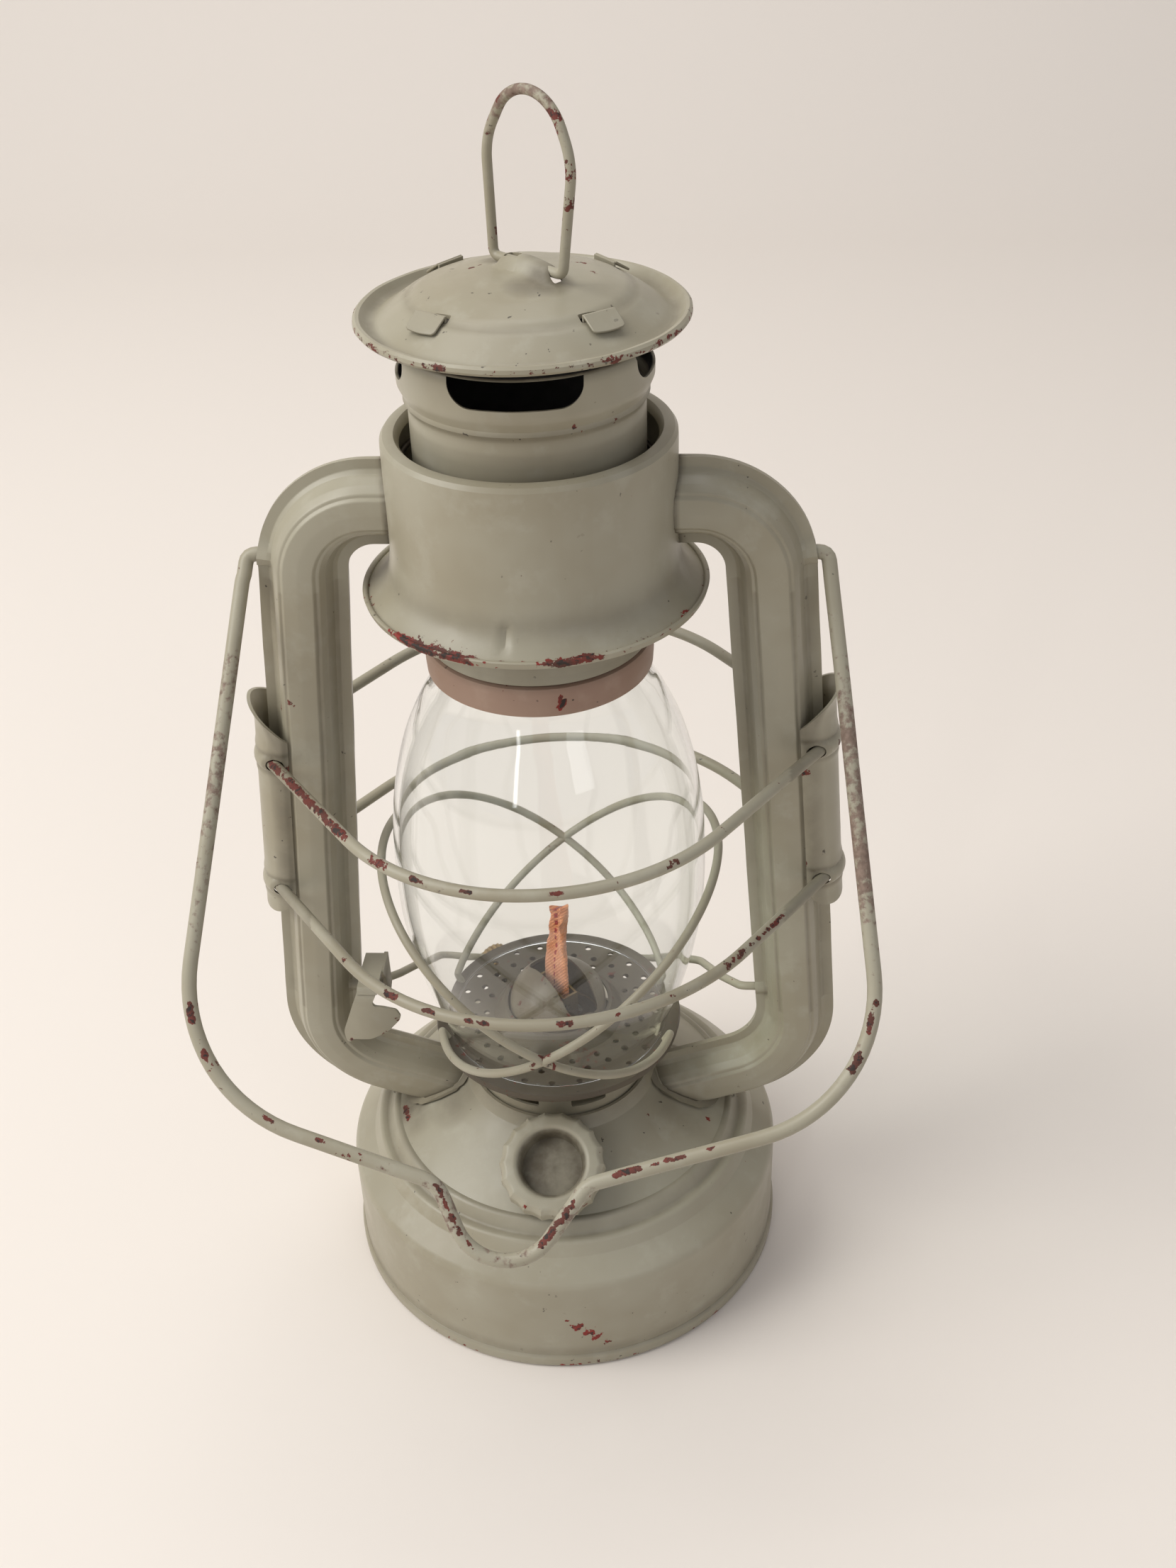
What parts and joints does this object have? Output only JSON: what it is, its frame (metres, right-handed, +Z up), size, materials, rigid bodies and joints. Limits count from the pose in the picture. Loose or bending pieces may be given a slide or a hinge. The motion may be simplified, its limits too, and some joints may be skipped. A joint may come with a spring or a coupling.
{
  "type": "hurricane lantern",
  "caption": "Kerosene hurricane lantern with a round fuel tank, pressed side air tubes, a glass globe in wire guards, a lift-up chimney with a hanging ring, and a swinging bail.",
  "frame": {"origin": "centre of the tank's foot, on the plane it stands on", "axes": "+Z up along the lantern's axis, +Y to the rear, -Y to the front where the filler cap and the resting bail are, +X along the side tubes to the viewer's right"},
  "size_m": [0.1576, 0.1547, 0.3124],
  "materials": {
    "painted_sheet": "semi-gloss stone-grey enamel with chips down to red primer and rust",
    "painted_wire": "stone-grey enamel, worn to red-brown primer on the outer side",
    "tinned_steel": "dull tinned steel",
    "brass_fitting": "dull aged brass",
    "wick_cotton": "woven cotton, orange with a red centre thread",
    "seal": "oil-darkened washer",
    "clear_glass": "clear blown glass with light waviness",
    "bare_metal": "pinkish bare-looking primer, dull",
    "spring_steel": "dull spring steel"
  },
  "bodies": {
    "frame": {"tank_shell": "painted_sheet", "tank_bottom": "painted_sheet", "air_dome": "painted_sheet", "filler_neck": "tinned_steel", "burner_collar": "brass_fitting", "burner_body": "brass_fitting", "burner_gallery": "painted_sheet", "wick_tube": "brass_fitting", "burner_cone": "painted_sheet", "left_tube_front": "painted_sheet", "left_tube_rear": "painted_sheet", "right_tube_front": "painted_sheet", "right_tube_rear": "painted_sheet", "left_tube_foot": "painted_sheet", "right_tube_foot": "painted_sheet", "air_chamber": "painted_sheet", "left_guard_clip": "painted_sheet", "right_guard_clip": "painted_sheet", "upper_guard_hoop": "painted_wire", "lower_guard_hoop": "painted_wire", "chimney_spring": "spring_steel"},
    "globe_lift": {"lift_crank": "painted_wire", "lift_lever": "painted_sheet"},
    "globe_carrier": {"globe_plate": "painted_sheet", "globe": "clear_glass", "cross_hoop_right": "painted_wire", "cross_hoop_left": "painted_wire"},
    "chimney_unit": {"chimney_tube": "painted_sheet", "canopy": "painted_sheet", "globe_collar": "bare_metal", "collar_ring": "painted_sheet"},
    "hanging_ring": {"ring_handle": "painted_wire"},
    "bail": {"bail": "painted_wire"},
    "cap_washer": {"cap_seal": "seal"},
    "cap": {"filler_cap": "painted_sheet"},
    "wick": {"wick": "wick_cotton"},
    "wick_drive": {"wick_shaft": "brass_fitting", "wick_wheels": "brass_fitting", "wick_knob": "brass_fitting"}
  },
  "joints": [
    {"name": "lever_turn", "type": "hinge", "parent": "frame", "child": "globe_lift", "pos_m": [0, 0, 0.0825], "axis": [1, 0, 0], "range_deg": [0, 25.2]},
    {"name": "globe_rise", "type": "slide", "parent": "frame", "child": "globe_carrier", "axis": [0, 0, 1], "range_m": [0, 0.0123]},
    {"name": "chimney_rise", "type": "slide", "parent": "globe_carrier", "child": "chimney_unit", "axis": [0, 0, 1], "range_m": [0, 0.014], "deforming": ["chimney_spring"]},
    {"name": "ring_fold", "type": "hinge", "parent": "chimney_unit", "child": "hanging_ring", "pos_m": [0.00193, -0.00174, 0.2765], "axis": [0.7431, -0.6691, 0], "range_deg": [-80, 80]},
    {"name": "bail_swing", "type": "hinge", "parent": "frame", "child": "bail", "pos_m": [0, 0, 0.211], "axis": [-1, 0, 0], "range_deg": [0, 288]},
    {"name": "cap_rise", "type": "slide", "parent": "frame", "child": "cap_washer", "axis": [0, -0.5, 0.866], "range_m": [0, 0.003]},
    {"name": "cap_turn", "type": "hinge", "parent": "cap_washer", "child": "cap", "pos_m": [0, -0.0374, 0.05215], "axis": [0, -0.5, 0.866], "range_deg": [0, 720]},
    {"name": "knob_turn", "type": "hinge", "parent": "frame", "child": "wick_drive", "pos_m": [0.0036, 0.00286, 0.06], "axis": [-0.6225, 0.7826, 0], "range_deg": [-330, 60]},
    {"name": "wick_rise", "type": "slide", "parent": "frame", "child": "wick", "axis": [0, 0, 1], "range_m": [-0.0195, 0.0035]}
  ],
  "couplings": [
    {"joint": "lever_turn", "follows": "globe_rise", "rad_per_m": 35.714},
    {"joint": "cap_rise", "follows": "cap_turn", "m_per_rad": 0.000238},
    {"joint": "knob_turn", "follows": "wick_rise", "rad_per_m": 294.12}
  ]
}
